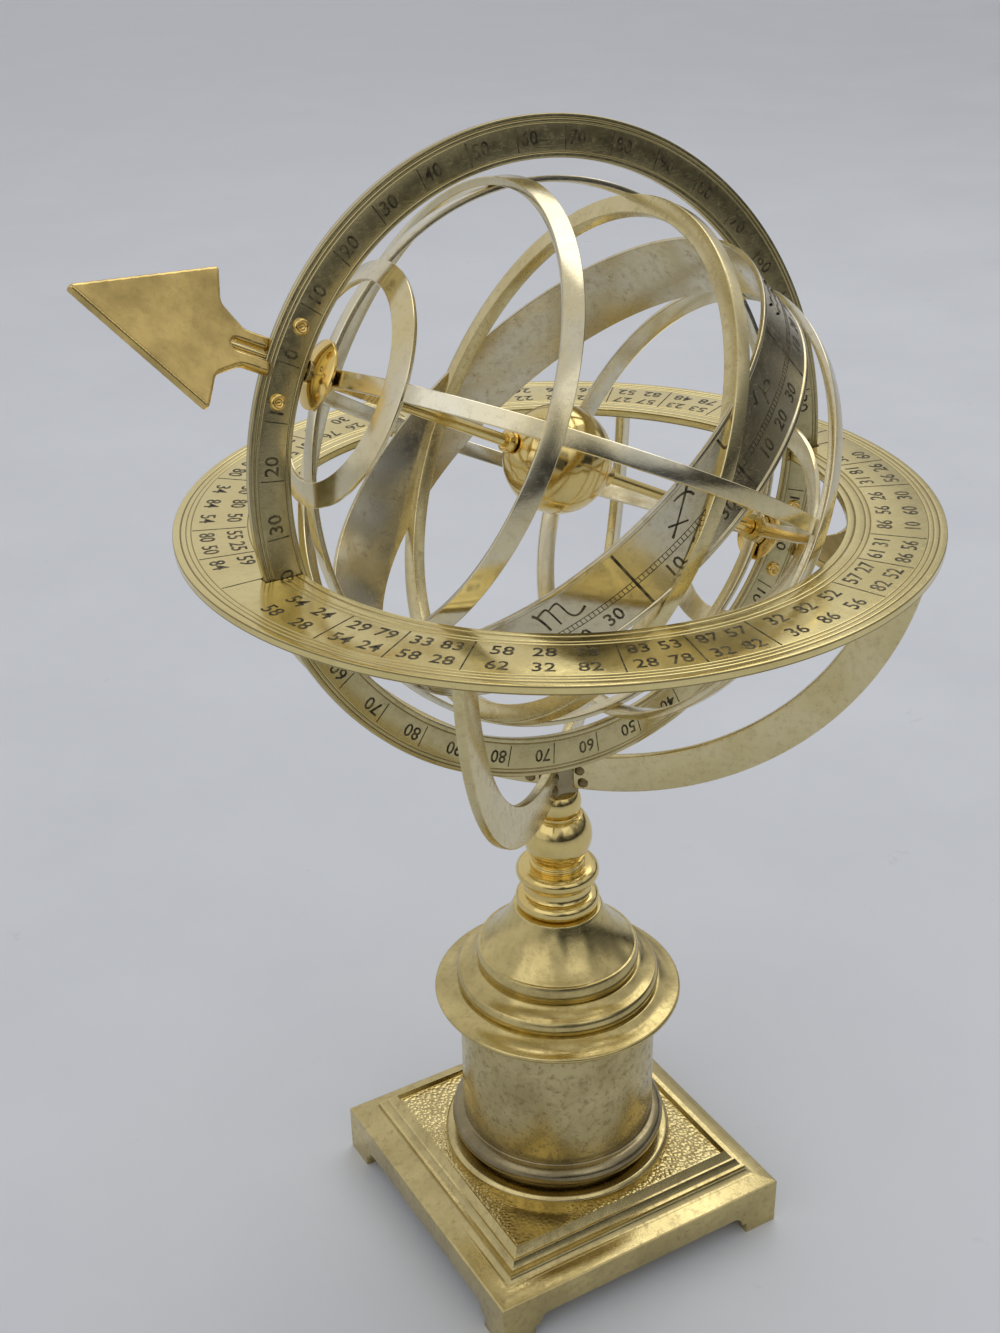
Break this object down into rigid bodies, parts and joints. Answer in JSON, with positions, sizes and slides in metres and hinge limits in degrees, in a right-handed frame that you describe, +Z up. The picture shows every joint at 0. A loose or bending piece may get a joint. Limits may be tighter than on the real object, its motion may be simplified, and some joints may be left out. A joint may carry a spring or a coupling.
{
  "type": "armillary sphere",
  "caption": "Brass armillary sphere: a turning cage of sky hoops round a small globe, in a tilting meridian ring held by a horizon ring on a turned pedestal.",
  "frame": {"origin": "centre of the plinth on the floor, under the axis of the pedestal", "axes": "+Z up along the pedestal, X and Y along the sides of the plinth, the arrow of the polar axis towards -X"},
  "size_m": [0.287, 0.254, 0.4261],
  "materials": {
    "antique_brass": "satin cast and turned brass with an aged, speckled skin",
    "dark_brass": "darkened brass, half polished",
    "polished_brass": "polished yellow brass, engraved",
    "olive_brass": "satin brass toned dark olive, engraved",
    "brushed_brass": "pale brushed brass",
    "bright_brass": "bright polished brass with fine scratches",
    "nickel_brass": "worn nickel plate on brass, brushed"
  },
  "bodies": {
    "stand": {"plinth": "antique_brass", "base_torus": "dark_brass", "drum": "antique_brass", "drum_cap": "antique_brass", "step_disc": "antique_brass", "step_ring": "antique_brass", "bell": "antique_brass", "collar": "antique_brass", "knop": "antique_brass", "neck_bead": "antique_brass", "post": "antique_brass", "tie_rod": "dark_brass", "tie_washer": "dark_brass", "tie_nut": "dark_brass", "horizon_ring": "polished_brass", "arm_front_right": "brushed_brass", "arm_back_right": "brushed_brass", "arm_back_left": "brushed_brass", "arm_front_left": "brushed_brass"},
    "meridian": {"meridian_ring": "olive_brass", "north_rivets": "bright_brass", "south_rivets": "bright_brass", "arrow": "bright_brass", "tail": "bright_brass", "axle": "bright_brass", "north_ferrule": "bright_brass", "south_ferrule": "bright_brass", "north_cap": "bright_brass", "south_cap": "bright_brass", "north_spacer": "bright_brass", "south_spacer": "bright_brass", "north_globe_stop": "bright_brass", "south_globe_stop": "bright_brass"},
    "cage": {"solstitial_colure": "nickel_brass", "equinoctial_colure": "nickel_brass", "zodiac_band": "nickel_brass", "equator_ring": "brushed_brass", "north_tropic": "nickel_brass", "south_tropic": "nickel_brass", "arctic_circle": "nickel_brass", "antarctic_circle": "nickel_brass", "north_bush": "bright_brass", "south_bush": "bright_brass"},
    "globe": {"globe": "bright_brass"}
  },
  "joints": [
    {"name": "latitude_slide", "type": "hinge", "parent": "stand", "child": "meridian", "pos_m": [0, 0, 0.3189], "axis": [0, -0.9842, 0.1771], "range_deg": [-30, 7]},
    {"name": "cage_spin", "type": "hinge", "parent": "meridian", "child": "cage", "pos_m": [0, 0, 0.3189], "axis": [-0.8862, 0.082, 0.456], "continuous": true},
    {"name": "globe_spin", "type": "hinge", "parent": "meridian", "child": "globe", "pos_m": [0, 0, 0.3189], "axis": [-0.8862, 0.082, 0.456], "continuous": true}
  ]
}
